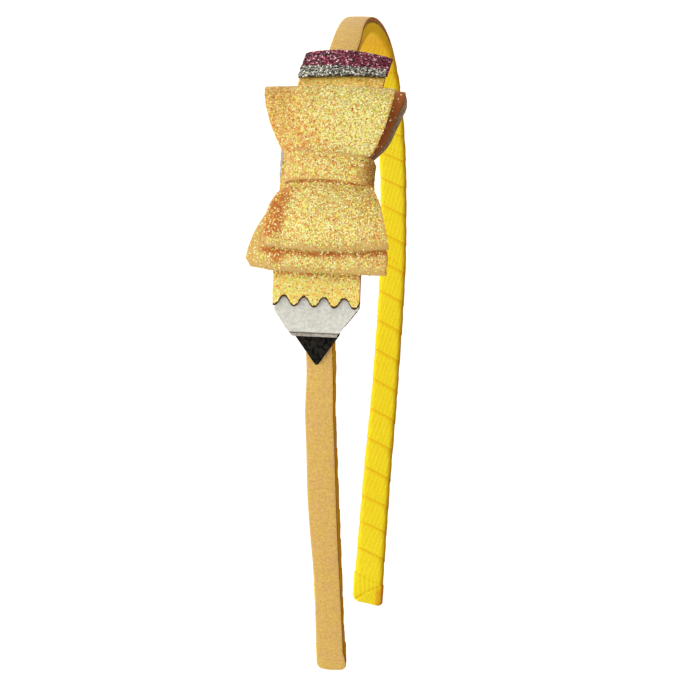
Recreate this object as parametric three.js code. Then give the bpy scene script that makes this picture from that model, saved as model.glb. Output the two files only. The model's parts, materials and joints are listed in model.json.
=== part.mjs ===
// A child's headband with a pencil on it. A ribbon-wound band carries a strip along its
// outside, and a pencil cut from glitter canvas is glued to one side with a double bow
// tied across it. Millimetres, +Z up, lying on its side as it rests on a table.
import * as THREE from "three";

// Band: a round crown, flatter shoulders and two straight legs that lean in
const crownRadius = 51.4;
const crownTurn = THREE.MathUtils.degToRad(101);
const shoulderRadius = 152;
const shoulderTurn = THREE.MathUtils.degToRad(7.3);
const legLength = 63.8;
const crownLength = crownRadius * crownTurn;
const bentLength = crownLength + shoulderRadius * shoulderTurn;
const sideLength = bentLength + legLength;
const bandWidth = 6.2;
const bandThick = 2.4;
const bandCorner = 0.7;

// Ribbon turns: each laps the one before it, so the surface steps at a slanting seam
const ribbonPitch = 7.4;
const ribbonStep = 0.22;
const ribbonSlant = 0.43;
const seamShare = 0.02;
const tipWrapLength = 4.6;
const tipWrapSwell = 0.25;

// Canvas and felt are cut sheets of one thickness, laid with a small clearance
const sheetThick = 1.0;
const clearance = 0.3;
const stripWidth = 5.4;
const stripSteps = 54;
const stripShort = 1.0;
const stripBase = bandThick / 2 + clearance;
const stripTop = stripBase + sheetThick;

// Pencil: places along the band are measured from the crown, towards the bow side's tip
const pencilHalf = 8.75;
const eraserStart = 31.0;
const eraserEnd = 37.6;
const eraserHalf = 9.05;
const ferruleStart = 36.2;
const ferruleEnd = 40.3;
const ferruleHalf = 8.9;
const bodyStart = 38.0;
const bodyEnd = 85.15;
const scallopDepth = 1.8;
const scallopPitch = 4.04;
const scallopShift = 0.38;
const woodStart = 82.8;
const woodShoulder = 86.6;
const woodEnd = 92.0;
const woodHalf = 8.55;
const woodEndHalf = 4.3;
const leadStart = 90.0;
const leadTip = 98.0;
const leadHalf = 4.2;
const leadTipHalf = 0.35;
const pencilLean = 0.0225;
const pencilTipOffset = -0.4;
const pencilDroop = 1.35;
const droopEnd = 52;
const riseStart = 43;
const riseEnd = 53;

// Heights over the band's centre line of the undersides of the pencil's sheets
const seatOnStrip = stripTop + clearance;
const seatOnSheet = seatOnStrip + sheetThick + clearance;
const eraserSeat = seatOnStrip + clearance;
const ferruleSeat = eraserSeat + sheetThick + clearance;

// Felt pad between the strip and the pencil
const feltStart = 55.3;
const feltEnd = 63.6;
const feltHalf = 8.6;
const feltRows = 5;

// Bow: it is flat, and touches the pencil's curve only at its waist
const bowPlace = 62;
const knotWidth = 5.6;
const knotAlong = -1.2;
const knotAcross = -3.1;
const knotRise = 0.035;
const knotHalf = 8.3;
const knotCorner = 1.8;
const knotCrown = 1.5;
const knotBase = seatOnSheet + sheetThick + clearance;
const knotHeight = 7.5;
const knotCornerSteps = 6;
const knotFrontSteps = 8;
const loopSteps = 68;
const loopColumns = 5;

// A bow layer is a closed loop of canvas. Each row is a place along it, out from the waist:
// the heights of the front and back sheets' middles, and half of the width there. Its rows
// rise across it, and it leans sideways along it, by the slopes given.
const frontLayer = {
  along: -0.95,
  across: -3.0,
  rise: -0.02,
  lean: 0.06,
  rows: [
    { along: 0, front: 11.1, back: 9.8, half: 6.6 },
    { along: 3.6, front: 11.1, back: 9.8, half: 6.6 },
    { along: 4.9, front: 11.4, back: 9.8, half: 9.2 },
    { along: 8.5, front: 12.4, back: 9.8, half: 11.0 },
    { along: 12.4, front: 12.9, back: 9.9, half: 12.0 },
    { along: 15.6, front: 12.7, back: 10.3, half: 12.5 },
  ],
  fold: { along: 16.8, height: 11.5, half: 12.6 },
};
const backLayer = {
  along: -1.45,
  across: -2.4,
  rise: 0.03,
  lean: -0.038,
  rows: [
    { along: 0, front: 8.5, back: 7.2, half: 6.4 },
    { along: 3.9, front: 8.5, back: 7.2, half: 6.4 },
    { along: 5.3, front: 8.4, back: 6.9, half: 8.5 },
    { along: 8.6, front: 8.3, back: 5.9, half: 10.4 },
    { along: 12.6, front: 8.0, back: 4.9, half: 12.2 },
    { along: 16.2, front: 7.4, back: 4.4, half: 13.3 },
    { along: 17.9, front: 6.7, back: 4.7, half: 13.2 },
  ],
  fold: { along: 18.6, height: 5.7, half: 12.3 },
};

// Search for the side that it rests on: the first tilt tried, the last, and ways tried at each
const firstTilt = 0.05;
const lastTilt = 1e-7;
const tiltWays = 12;

const gold = { color: 0xe2bb6a, roughness: 0.55, metalness: 0.25 };
const finishes = {
  band: { color: 0xf0d626, roughness: 0.75, metalness: 0.0 },
  strip: { color: 0xdab562, roughness: 0.6, metalness: 0.15 },
  body: gold,
  ferrule: { color: 0x9a9c92, roughness: 0.4, metalness: 0.6 },
  eraser: { color: 0x7a3446, roughness: 0.5, metalness: 0.2 },
  wood: { color: 0xdadace, roughness: 0.8, metalness: 0.0 },
  lead: { color: 0x151312, roughness: 0.7, metalness: 0.0 },
  felt: { color: 0xe6e8ea, roughness: 0.95, metalness: 0.0 },
  bow: gold,
};

// The centre line at a place along the band: positive towards the bow side, which is -X
function archAt(place) {
  const side = place < 0 ? 1 : -1;
  const run = Math.abs(place);
  const crownPart = Math.min(run, crownLength) / crownRadius;
  const shoulderPart = THREE.MathUtils.clamp(run - crownLength, 0, bentLength - crownLength) / shoulderRadius;
  const straight = Math.max(run - bentLength, 0);
  const turn = crownPart + shoulderPart;
  const shoulderOut = shoulderRadius * (Math.sin(turn) - Math.sin(crownPart));
  const shoulderUp = shoulderRadius * (Math.cos(turn) - Math.cos(crownPart));
  const out = crownRadius * Math.sin(crownPart) + shoulderOut + straight * Math.cos(turn);
  const up = crownRadius * (Math.cos(crownPart) - 1) + shoulderUp - straight * Math.sin(turn);
  return {
    point: new THREE.Vector3(side * out, 0, up),
    outward: new THREE.Vector3(side * Math.sin(turn), 0, Math.cos(turn)),
    towardsCrown: new THREE.Vector3(-side * Math.cos(turn), 0, Math.sin(turn)),
  };
}

// A point by its place along the band, across it, and its height over the centre line
function onArch(place, across, height) {
  const arch = archAt(place);
  const point = arch.point.addScaledVector(arch.outward, height);
  point.y = across;
  return point;
}

// Six times the volume inside a closed mesh
function sixVolumes(points, triangles) {
  let sum = 0;
  for (const [a, b, c] of triangles) {
    sum += points[a].dot(new THREE.Vector3().crossVectors(points[b], points[c]));
  }
  return sum;
}

// A geometry of a closed mesh, with its faces turned outwards
function closedGeometry(points, triangles) {
  const outward = sixVolumes(points, triangles) > 0;
  const faces = triangles.map(([a, b, c]) => (outward ? [a, b, c] : [a, c, b]));
  const geometry = new THREE.BufferGeometry().setFromPoints(points);
  geometry.setIndex(faces.flat());
  geometry.computeVertexNormals();
  return geometry;
}

// Two triangles of a four-sided face
function quad(a, b, c, d) {
  return [[a, b, c], [a, c, d]];
}

// Rings of equal count joined end to end, with a fan from its middle closing each end
function ringSolid(rings) {
  const count = rings[0].length;
  const points = rings.flat();
  const triangles = [];
  for (let r = 0; r + 1 < rings.length; r++) {
    for (let k = 0; k < count; k++) {
      const next = (k + 1) % count;
      const low = r * count;
      const high = low + count;
      triangles.push(...quad(low + k, low + next, high + next, high + k));
    }
  }
  for (const end of [0, rings.length - 1]) {
    const middle = points.length;
    const sum = new THREE.Vector3();
    rings[end].forEach((point) => sum.add(point));
    points.push(sum.divideScalar(count));
    for (let k = 0; k < count; k++) {
      const pair = [end * count + k, end * count + ((k + 1) % count)];
      triangles.push(end === 0 ? [middle, pair[1], pair[0]] : [middle, ...pair]);
    }
  }
  return closedGeometry(points, triangles);
}

// A sheet's solid. place(row, column, face) gives a point on its back (0) or front (1) face,
// and a looped sheet runs from its last row back to its first.
function sheetSolid(rows, columns, place, looped = false) {
  const points = [];
  const triangles = [];
  const at = (row, column, face) => (((row % rows) * columns) + column) * 2 + face;
  for (let row = 0; row < rows; row++) {
    for (let column = 0; column < columns; column++) {
      points.push(place(row, column, 0), place(row, column, 1));
    }
  }
  const steps = looped ? rows : rows - 1;
  for (let row = 0; row < steps; row++) {
    for (let column = 0; column + 1 < columns; column++) {
      const corners = [[row, column], [row, column + 1], [row + 1, column + 1], [row + 1, column]];
      const front = corners.map(([r, c]) => at(r, c, 1));
      const back = corners.map(([r, c]) => at(r, c, 0)).reverse();
      triangles.push(...quad(...front), ...quad(...back));
    }
    const last = columns - 1;
    triangles.push(...quad(at(row, 0, 0), at(row, 0, 1), at(row + 1, 0, 1), at(row + 1, 0, 0)));
    triangles.push(...quad(at(row, last, 1), at(row, last, 0), at(row + 1, last, 0), at(row + 1, last, 1)));
  }
  if (!looped) {
    const end = rows - 1;
    for (let c = 0; c + 1 < columns; c++) {
      triangles.push(...quad(at(0, c, 1), at(0, c, 0), at(0, c + 1, 0), at(0, c + 1, 1)));
      triangles.push(...quad(at(end, c, 0), at(end, c, 1), at(end, c + 1, 1), at(end, c + 1, 0)));
    }
  }
  return closedGeometry(points, triangles);
}

// The corners of a rectangle with its edges rounded, as across and height
function roundedSection(width, thick, corner) {
  const shape = [];
  const middles = [[1, 1, 0], [-1, 1, 90], [-1, -1, 180], [1, -1, 270]];
  for (const [x, y, start] of middles) {
    for (const step of [0, 45, 90]) {
      const angle = THREE.MathUtils.degToRad(start + step);
      const across = x * (width / 2 - corner) + corner * Math.cos(angle);
      const height = y * (thick / 2 - corner) + corner * Math.sin(angle);
      shape.push({ across, height });
    }
  }
  return shape;
}

// The wound band: a ring at the start, middle and end of each ribbon turn, and a folded tip
function woundBand() {
  const section = (swell) => roundedSection(bandWidth + 2 * swell, bandThick + swell, bandCorner);
  const ring = (place, swell, slant, share = 1) => section(swell).map(({ across, height }) => {
    const low = height < 0 ? height : Math.min(height, bandThick / 2);
    return onArch(place + slant * across, across * share, low * share);
  });
  const wound = sideLength - tipWrapLength - ribbonSlant * bandWidth / 2 - clearance;
  const turns = Math.floor(2 * wound / ribbonPitch);
  const pitch = 2 * wound / turns;
  const tip = [
    { in: 0, swell: 0.1, share: 0.72 },
    { in: 0.5, swell: tipWrapSwell, share: 0.92 },
    { in: 1.3, swell: tipWrapSwell, share: 1 },
    { in: tipWrapLength - clearance, swell: tipWrapSwell, share: 1 },
    { in: tipWrapLength, swell: 0, share: 1 },
  ];
  const ends = [-1, 1].map((side) => tip.map((row) => (
    ring(side * (sideLength - row.in), row.swell, 0, row.share)
  )));
  const rings = [...ends[0]];
  for (let turn = 0; turn < turns; turn++) {
    const start = -wound + turn * pitch;
    for (const part of [seamShare, 0.5, 1 - seamShare]) {
      const outermost = turn * (turns - 1 - turn) === 0;
      rings.push(ring(start + part * pitch, -ribbonStep * part, outermost ? 0 : ribbonSlant));
    }
  }
  rings.push(...ends[1].reverse());
  return ringSolid(rings);
}

// The strip along the band's outside, in short steps round the crown and one along each leg
function coverStrip() {
  const end = sideLength - stripShort;
  const places = [-end];
  for (let step = 0; step <= stripSteps; step++) {
    places.push(THREE.MathUtils.lerp(-bentLength, bentLength, step / stripSteps));
  }
  places.push(end);
  const place = (row, column, face) => {
    const across = (column - 0.5) * stripWidth;
    return onArch(places[row], across, stripBase + face * sheetThick);
  };
  return sheetSolid(places.length, 2, place);
}

// A point on the pencil, which leans a little across the band, and whose top droops round it
function onPencil(place, across, height) {
  const sideways = pencilTipOffset - pencilLean * (leadTip - place) + across;
  const near = THREE.MathUtils.clamp((droopEnd - place) / (droopEnd - eraserStart), 0, 1);
  const droop = pencilDroop * near * near * (sideways / pencilHalf) ** 2;
  return onArch(place, sideways, height - droop);
}

// A sheet of the pencil between two places, with its half width and underside by place
function pencilSheet({ rows, columns, from, toAt, halfAt, seatAt }) {
  return sheetSolid(rows, columns, (row, column, face) => {
    const share = 2 * column / (columns - 1) - 1;
    const place = THREE.MathUtils.lerp(from, toAt(share * halfAt(from)), row / (rows - 1));
    return onPencil(place, share * halfAt(place), seatAt(place) + face * sheetThick);
  });
}

// The body's lower edge is cut in waves, where the sharpener met the flat sides
function scallopEdge(across) {
  const wave = Math.cos(2 * Math.PI * (across - scallopShift) / scallopPitch);
  return bodyEnd + scallopDepth / 2 * wave;
}

// The body lies on the felt and on the wood's top, and comes down to the strip at the ferrule
function bodySeat(place) {
  const raised = THREE.MathUtils.smoothstep(place, riseStart, riseEnd);
  return THREE.MathUtils.lerp(eraserSeat, seatOnSheet, raised);
}

// The wood starts under the body and rises over the lead
function woodSeat(place) {
  const raised = THREE.MathUtils.clamp((place - woodShoulder) / (leadStart - clearance - woodShoulder), 0, 1);
  return THREE.MathUtils.lerp(seatOnStrip, seatOnSheet, raised);
}

function woodHalfAt(place) {
  const taper = Math.max(place - woodShoulder, 0) / (woodEnd - woodShoulder);
  return THREE.MathUtils.lerp(woodHalf, woodEndHalf, taper);
}

function leadHalfAt(place) {
  const taper = Math.max(place - woodEnd, 0) / (leadTip - woodEnd);
  return THREE.MathUtils.lerp(leadHalf, leadTipHalf, taper);
}

// A point by the bow's own frame: along it towards the crown, across, and height
function onBow(along, across, height) {
  const arch = archAt(bowPlace);
  const point = arch.point.addScaledVector(arch.towardsCrown, along);
  point.addScaledVector(arch.outward, height);
  point.y = across;
  return point;
}

// A layer's loop: its front sheet, a fold, its back sheet and the other fold, as one curve
// through points of place along, height and half width
function bowLayer(layer) {
  const { rows, fold } = layer;
  const out = rows.slice(1);
  const point = (row, side, sheet) => new THREE.Vector3(side * row.along, row[sheet], row.half);
  const folded = (side) => new THREE.Vector3(side * fold.along, fold.height, fold.half);
  const loop = [
    point(rows[0], 1, "front"),
    ...out.map((row) => point(row, 1, "front")),
    folded(1),
    ...out.map((row) => point(row, 1, "back")).reverse(),
    point(rows[0], 1, "back"),
    ...out.map((row) => point(row, -1, "back")),
    folded(-1),
    ...out.map((row) => point(row, -1, "front")).reverse(),
  ];
  const curve = new THREE.CatmullRomCurve3(loop, true, "centripetal");
  const path = curve.getSpacedPoints(loopSteps).slice(0, loopSteps);
  const place = (row, column, face) => {
    const here = path[row];
    const ahead = path[(row + 1) % loopSteps];
    const behind = path[(row + loopSteps - 1) % loopSteps];
    const run = new THREE.Vector2(ahead.x - behind.x, ahead.y - behind.y).normalize();
    const offset = (face - 0.5) * sheetThick;
    const along = here.x - run.y * offset;
    const height = here.y + run.x * offset;
    const across = (2 * column / (loopColumns - 1) - 1) * here.z;
    const risen = layer.along + along + layer.rise * across;
    return onBow(risen, layer.across + across + layer.lean * along, height);
  };
  return sheetSolid(loopSteps, loopColumns, place, true);
}

// The knot: a band of canvas round both layers' waists, crowned a little at the front
function bowKnot() {
  const flat = knotHeight / 2 - sheetThick / 2;
  const middle = knotBase + knotHeight / 2;
  const corners = [[1, 1, 0], [-1, 1, 90], [-1, -1, 180], [1, -1, 270]];
  const ring = [];
  for (const [x, y, start] of corners) {
    for (let step = 0; step <= knotCornerSteps; step++) {
      const angle = THREE.MathUtils.degToRad(start + 90 * step / knotCornerSteps);
      const out = new THREE.Vector2(Math.cos(angle), Math.sin(angle));
      const base = new THREE.Vector2(x * (knotHalf - knotCorner), y * (flat - knotCorner));
      ring.push({ at: base.addScaledVector(out, knotCorner), out });
    }
    if (start === 0) {
      const out = new THREE.Vector2(0, 1);
      for (let step = 1; step < knotFrontSteps; step++) {
        const across = (knotHalf - knotCorner) * (1 - 2 * step / knotFrontSteps);
        ring.push({ at: new THREE.Vector2(across, flat), out });
      }
    }
  }
  const place = (row, column, face) => {
    const { at, out } = ring[row];
    const offset = (face - 0.5) * sheetThick;
    const across = at.x + out.x * offset;
    const crown = at.y > 0 ? knotCrown * (1 - (at.x / knotHalf) ** 2) : 0;
    const height = middle + at.y + out.y * offset + crown;
    const along = knotAlong + (column - 0.5) * knotWidth + knotRise * across;
    return onBow(along, knotAcross + across, height);
  };
  return sheetSolid(ring.length, 2, place, true);
}

function named(name, geometry, finish) {
  const mesh = new THREE.Mesh(geometry, new THREE.MeshStandardMaterial(finish));
  mesh.name = name;
  return mesh;
}

// The felt pad, bent to the band
function feltPad() {
  return sheetSolid(feltRows, 2, (row, column, face) => {
    const place = THREE.MathUtils.lerp(feltStart, feltEnd, row / (feltRows - 1));
    return onArch(place, (2 * column - 1) * feltHalf, seatOnStrip + face * sheetThick);
  });
}

// The pencil's sheets, each with its ends, half width and underside
const always = (value) => () => value;
const pencilSheets = {
  eraser: {
    rows: 4,
    columns: 9,
    from: eraserStart,
    toAt: always(eraserEnd),
    halfAt: always(eraserHalf),
    seatAt: always(eraserSeat),
  },
  ferrule: {
    rows: 3,
    columns: 9,
    from: ferruleStart,
    toAt: always(ferruleEnd),
    halfAt: always(ferruleHalf),
    seatAt: always(ferruleSeat),
  },
  body: {
    rows: 17,
    columns: 27,
    from: bodyStart,
    toAt: scallopEdge,
    halfAt: always(pencilHalf),
    seatAt: bodySeat,
  },
  wood: {
    rows: 13,
    columns: 5,
    from: woodStart,
    toAt: always(woodEnd),
    halfAt: woodHalfAt,
    seatAt: woodSeat,
  },
  lead: {
    rows: 8,
    columns: 5,
    from: leadStart,
    toAt: always(leadTip),
    halfAt: leadHalfAt,
    seatAt: always(seatOnStrip),
  },
};

const headband = new THREE.Group();
headband.add(
  named("wound_band", woundBand(), finishes.band),
  named("cover_strip", coverStrip(), finishes.strip),
  named("felt_pad", feltPad(), finishes.felt),
);
for (const [piece, sheet] of Object.entries(pencilSheets)) {
  headband.add(named("pencil_" + piece, pencilSheet(sheet), finishes[piece]));
}
headband.add(
  named("bow_back_loops", bowLayer(backLayer), finishes.bow),
  named("bow_front_loops", bowLayer(frontLayer), finishes.bow),
  named("bow_knot", bowKnot(), finishes.bow),
);

// All points of the pieces, and their common centre of mass, as one material
function weigh(group) {
  const points = [];
  const centre = new THREE.Vector3();
  let total = 0;
  for (const mesh of group.children) {
    const spots = mesh.geometry.getAttribute("position");
    const index = mesh.geometry.getIndex();
    const corner = (k) => new THREE.Vector3().fromBufferAttribute(spots, k);
    for (let k = 0; k < spots.count; k++) {
      points.push(corner(k));
    }
    for (let k = 0; k < index.count; k += 3) {
      const [a, b, c] = [0, 1, 2].map((step) => corner(index.getX(k + step)));
      const mass = a.dot(new THREE.Vector3().crossVectors(b, c)) / 6;
      centre.addScaledVector(a.add(b).add(c), mass / 4);
      total += mass;
    }
  }
  return { points, centre: centre.divideScalar(total) };
}

// The way that faces the table where the piece comes to rest: near +Y, it is the direction
// in which the centre of mass lies lowest over the table
function restingSide({ points, centre }) {
  const direction = (tilt) => new THREE.Vector3(tilt.x, 1, tilt.y).normalize();
  const height = (tilt) => {
    const down = direction(tilt);
    const reach = points.reduce((most, point) => Math.max(most, point.dot(down)), -Infinity);
    return reach - centre.dot(down);
  };
  const tilt = new THREE.Vector2();
  let best = height(tilt);
  let step = firstTilt;
  while (step > lastTilt) {
    let better = false;
    for (let k = 0; k < tiltWays; k++) {
      const angle = 2 * Math.PI * k / tiltWays;
      const trial = new THREE.Vector2(Math.cos(angle), Math.sin(angle)).multiplyScalar(step).add(tilt);
      const level = height(trial);
      if (level < best) {
        best = level;
        tilt.copy(trial);
        better = true;
      }
    }
    step = better ? step : step / 2;
  }
  return direction(tilt);
}

// It lies on that side with its crown towards +Y, the middle of its box over the origin and
// its lowest point at 0
const up = restingSide(weigh(headband)).negate();
const forward = new THREE.Vector3(0, 0, 1).projectOnPlane(up).normalize();
const sideways = new THREE.Vector3().crossVectors(forward, up);
const standing = new THREE.Matrix4().makeBasis(sideways, forward, up);
headband.quaternion.setFromRotationMatrix(standing.transpose());
const lying = new THREE.Group();
lying.add(headband);
lying.updateMatrixWorld(true);
const box = new THREE.Box3().setFromObject(headband, true);
const middle = box.getCenter(new THREE.Vector3());
lying.position.set(-middle.x, -middle.y, -box.min.z);

export default lying;
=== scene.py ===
# %% [markdown]
# # A pencil headband
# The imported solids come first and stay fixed. Every piece that shows is then cut flat, as the
# maker cuts canvas and ribbon, and bent to its place over the solid that it stands for. All
# sizes are in millimetres in the headband's own upright frame, and turn into metres on the table
# at the last moment.

import json
import math

import bpy
import numpy as np
from mathutils import Matrix, Vector

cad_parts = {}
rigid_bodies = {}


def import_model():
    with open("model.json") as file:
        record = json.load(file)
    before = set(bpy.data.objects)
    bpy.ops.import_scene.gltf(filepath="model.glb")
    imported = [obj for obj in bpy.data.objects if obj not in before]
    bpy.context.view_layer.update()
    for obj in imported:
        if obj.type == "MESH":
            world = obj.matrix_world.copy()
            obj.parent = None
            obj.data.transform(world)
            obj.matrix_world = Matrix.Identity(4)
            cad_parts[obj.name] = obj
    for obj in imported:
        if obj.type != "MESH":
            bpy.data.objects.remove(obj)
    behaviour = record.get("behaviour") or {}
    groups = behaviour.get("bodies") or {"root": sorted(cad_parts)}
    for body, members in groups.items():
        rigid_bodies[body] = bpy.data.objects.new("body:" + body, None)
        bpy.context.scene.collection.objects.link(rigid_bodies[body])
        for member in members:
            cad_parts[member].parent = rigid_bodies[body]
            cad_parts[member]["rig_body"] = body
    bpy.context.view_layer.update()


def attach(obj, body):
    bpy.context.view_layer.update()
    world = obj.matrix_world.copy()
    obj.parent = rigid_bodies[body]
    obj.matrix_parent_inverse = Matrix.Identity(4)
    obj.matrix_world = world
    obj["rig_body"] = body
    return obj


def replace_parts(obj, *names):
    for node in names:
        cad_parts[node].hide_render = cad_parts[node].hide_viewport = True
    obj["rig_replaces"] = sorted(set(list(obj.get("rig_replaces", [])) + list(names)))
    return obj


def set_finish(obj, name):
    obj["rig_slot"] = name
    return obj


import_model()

# %% [markdown]
# ## From upright to lying
# The headband lies on its side. One direction of its upright frame faces the table, and the crown
# points along +Y. Those two facts give the whole turn.

# %% The turn onto the table
MM = 0.001
table_side = Vector((0.077113, 0.997021, 0.001634)).normalized()
upright_origin = Vector((6.416061, 69.138888, 6.998736))
up = -table_side
forward = (Vector((0, 0, 1)) - up * up.z).normalized()
sideways = forward.cross(up)
lay_down = np.array([sideways, forward, up])


def on_table(points):
    """Upright millimetres to metres on the table."""
    return (np.asarray(points) @ lay_down.T + np.array(upright_origin)) * MM


def turned(direction):
    """An upright direction, on the table."""
    return Vector(lay_down @ np.array(direction, float))


print("the bow side points", turned((-1, 0, 0)))

# %% [markdown]
# ## The band's line
# A round crown, flatter shoulders and two straight legs. A place along it is measured from the
# crown, positive towards the bow, so that every piece can be laid on the band by place, across
# and height.

# %% Places on the band
crown_radius = 51.4
crown_turn = math.radians(101)
shoulder_radius = 152.0
shoulder_turn = math.radians(7.3)
leg_length = 63.8
crown_length = crown_radius * crown_turn
bent_length = crown_length + shoulder_radius * shoulder_turn
side_length = bent_length + leg_length
band_width = 6.2
band_thick = 2.4


def arch_at(place):
    """Centre line, outward direction and direction towards the crown, at places along the band."""
    place = np.asarray(place, float)
    side = np.where(place < 0, 1.0, -1.0)
    run = np.abs(place)
    crown = np.minimum(run, crown_length) / crown_radius
    turn = crown + np.clip(run - crown_length, 0, bent_length - crown_length) / shoulder_radius
    straight = np.maximum(run - bent_length, 0)
    out = crown_radius * np.sin(crown) + shoulder_radius * (np.sin(turn) - np.sin(crown))
    rise = crown_radius * (np.cos(crown) - 1) + shoulder_radius * (np.cos(turn) - np.cos(crown))
    out = out + straight * np.cos(turn)
    rise = rise - straight * np.sin(turn)
    none = np.zeros_like(out)
    point = np.stack([side * out, none, rise], -1)
    outward = np.stack([side * np.sin(turn), none, np.cos(turn)], -1)
    crownward = np.stack([-side * np.cos(turn), none, np.sin(turn)], -1)
    return point, outward, crownward


def on_arch(place, across, height):
    """Points by place along the band, across it, and height over its centre line."""
    point, outward, _ = arch_at(place)
    point = point + outward * np.asarray(height)[..., None]
    point[..., 1] += across
    return point


print("half of the band is", round(side_length, 1), "mm long")

# %% [markdown]
# ### Soft steps
# Nothing on a handmade piece starts or stops sharply. Three small curves say where something
# comes in, where it peaks and where it lasts, and they shape the bends and the wear below.

# %% Soft steps and the band's set
crown_set = 0.6
below_pencil_set = 0.72
plain_side_set = 0.2


def smooth(value, low, high):
    """A soft step, from 0 at low to 1 at high."""
    share = np.clip((value - low) / (high - low), 0, 1)
    return share * share * (3 - 2 * share)


def near(value, middle, reach):
    """A soft hump, 1 at its middle."""
    return np.exp(-((value - middle) / reach) ** 2)


def between(value, start, full, fade, stop):
    """A soft stretch, 1 from full to fade."""
    return smooth(value, start, full) * (1 - smooth(value, fade, stop))


def band_set(place):
    """How far use has drawn the band aside, at the crown, below the pencil and on the plain side."""
    at_crown = crown_set * near(place, 0, 22)
    below_pencil = below_pencil_set * between(place, 80, 96, 99, 111)
    plain_side = plain_side_set * between(-place, 70, 90, 120, 140)
    return at_crown - below_pencil - plain_side


print("drawn aside at the crown by", crown_set, "mm")

# %% [markdown]
# ## Cutting and bending sheets
# Everything soft here starts as a flat cut: a grid at the cut's size. A function then says where
# each point of the cut goes. Solidify gives the canvas its thickness, with its own material
# on the back and on the cut edge, and a narrow bevel takes the sharpness off.

# %% Cut, bend and mark
def cut_sheet(name, width, length, columns, rows):
    """A flat cut in millimetres: x across, y along."""
    bpy.ops.object.select_all(action="DESELECT")
    bpy.ops.mesh.primitive_grid_add(x_subdivisions=columns, y_subdivisions=rows, size=1)
    cut = bpy.context.object
    cut.name = name
    cut.data.name = name
    cut.scale = (width, length, 1)
    bpy.ops.object.transform_apply(location=False, rotation=False, scale=True)
    return cut


def points_of(piece):
    spots = np.empty(len(piece.data.vertices) * 3)
    piece.data.vertices.foreach_get("co", spots)
    return spots.reshape(-1, 3)


def bend(piece, to_place):
    """Moves each point of a flat cut to where to_place(x, y, z) puts it, in upright millimetres."""
    flat = points_of(piece)
    keep = piece.data.attributes.new("cut", "FLOAT_VECTOR", "POINT")
    keep.data.foreach_set("vector", flat.ravel())
    placed = on_table(to_place(flat[:, 0], flat[:, 1], flat[:, 2]))
    piece.data.vertices.foreach_set("co", placed.ravel())
    piece.data.update()


def places_on_cut(piece):
    """Where each point of a finished piece was on its flat cut, across and along."""
    cut_at = np.empty(len(piece.data.vertices) * 3)
    piece.data.attributes["cut"].data.foreach_get("vector", cut_at)
    cut_at = cut_at.reshape(-1, 3)
    return cut_at[:, 0], cut_at[:, 1]


def mark(piece, **numbers):
    """Keeps numbers with each point, for finishes and glitter to read."""
    for name, values in numbers.items():
        layer = piece.data.attributes.new(name, "FLOAT", "POINT")
        layer.data.foreach_set("value", np.ascontiguousarray(values, float))


def wavy(across, along, size, depth):
    """A slow unevenness, as handled canvas has."""
    first = np.sin(across / size * 2.1 + 0.7) * np.cos(along / size * 1.7 + 1.9)
    second = np.sin(across / size * 0.9 - along / size * 1.3 + 0.4)
    return depth * (0.6 * first + 0.4 * second)


# %% Edit, thicken and dress
canvas_thick = 0.9
cut_bevel = 0.16
bevel_angle = math.radians(50)
smooth_angle = math.radians(40)


def alone(piece):
    """Selects one piece and nothing else."""
    bpy.ops.object.select_all(action="DESELECT")
    piece.select_set(True)
    bpy.context.view_layer.objects.active = piece


def whole_mesh(piece, step, **settings):
    """Runs one edit mode operator over all of a piece."""
    alone(piece)
    bpy.ops.object.mode_set(mode="EDIT")
    bpy.ops.mesh.select_all(action="SELECT")
    step(**settings)
    bpy.ops.object.mode_set(mode="OBJECT")


def apply_all(piece):
    alone(piece)
    for modifier in list(piece.modifiers):
        bpy.ops.object.modifier_apply(modifier=modifier.name)


def thicken(piece, thick, materials, bevel=cut_bevel):
    """Thickness about the sheet's middle, with materials for its face, back and cut edge."""
    for material in materials:
        piece.data.materials.append(material)
    wall = piece.modifiers.new("thickness", "SOLIDIFY")
    wall.thickness = thick * MM
    wall.offset = 0
    wall.use_quality_normals = True
    wall.material_offset = 1
    wall.material_offset_rim = 2
    if bevel:
        soft = piece.modifiers.new("cut edge", "BEVEL")
        soft.width = bevel * MM
        soft.segments = 2
        soft.limit_method = "ANGLE"
        soft.angle_limit = bevel_angle
    apply_all(piece)
    bpy.ops.object.shade_smooth_by_angle(angle=smooth_angle)


def dress(piece, slot, *nodes):
    """Body, slot and the solids that the piece stands for."""
    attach(piece, "root")
    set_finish(piece, slot)
    if nodes:
        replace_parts(piece, *nodes)
    triangles = sum(len(face.vertices) - 2 for face in piece.data.polygons)
    print(piece.name, "triangles:", triangles)


print("canvas is", canvas_thick, "mm thick")

# %% [markdown]
# ## Plain cloth finishes
# Each cloth mixes a few tones by fine and coarse noise on Object coordinates, so its grain
# stays the same size on every piece. Numbers that are the same all over sit on the shader itself.

# %% Nodes for a finish
def colour(red, green, blue):
    """A colour from screen values, 0 to 255, as the shader reads it."""
    def linear(value):
        share = value / 255
        return share / 12.92 if share <= 0.04045 else ((share + 0.055) / 1.055) ** 2.4
    return (linear(red), linear(green), linear(blue), 1.0)


def grey(level):
    return (level, level, level, 1.0)


def add_node(tree, kind, settings=None, **inputs):
    """A new node, with some of its settings and inputs given."""
    node = tree.nodes.new(kind)
    for name, value in (settings or {}).items():
        setattr(node, name, value)
    for name, value in inputs.items():
        node.inputs[name].default_value = value
    return node


def new_finish(name, roughness, metallic=0.0, specular=0.4):
    """A material, its nodes and its shader."""
    finish = bpy.data.materials.new(name)
    finish.use_nodes = True
    shader = finish.node_tree.nodes["Principled BSDF"]
    shader.inputs["Roughness"].default_value = roughness
    shader.inputs["Metallic"].default_value = metallic
    shader.inputs["Specular IOR Level"].default_value = specular
    return finish, finish.node_tree, shader


print("a mid grey on the shader:", round(colour(128, 128, 128)[0], 3))

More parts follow.
